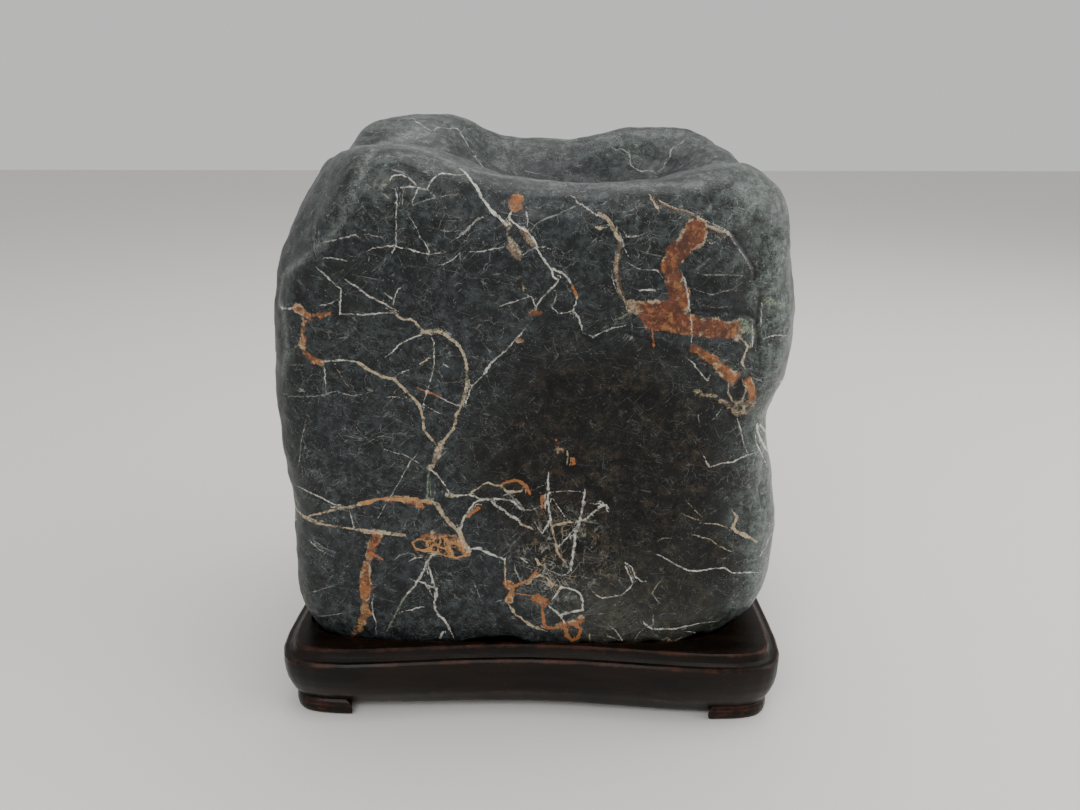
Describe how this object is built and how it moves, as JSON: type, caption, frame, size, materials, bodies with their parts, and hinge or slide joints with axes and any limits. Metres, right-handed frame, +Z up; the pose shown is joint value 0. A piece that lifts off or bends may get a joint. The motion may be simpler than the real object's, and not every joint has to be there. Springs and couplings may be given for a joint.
{
  "type": "suiseki",
  "caption": "Dark blocky viewing stone with pale and rust veins and a basin in its crown, standing in a carved pocket in a low moulded hardwood stand with corner feet.",
  "frame": {"origin": "on the floor under the middle of the stand", "axes": "+Z up; -Y towards the viewer, out of the stone's best side; +X to the viewer's right"},
  "size_m": [0.1824, 0.141, 0.2071],
  "materials": {
    "dark_green_stone": "water-worn and rubbed to a soft sheen, blue-black to green, with white, cream and rust-coloured veins",
    "dark_stained_hardwood": "near-black stained hardwood, semi-gloss, worn reddish along its edges"
  },
  "bodies": {
    "root": {"stone": "dark_green_stone", "stand": "dark_stained_hardwood"}
  },
  "joints": []
}
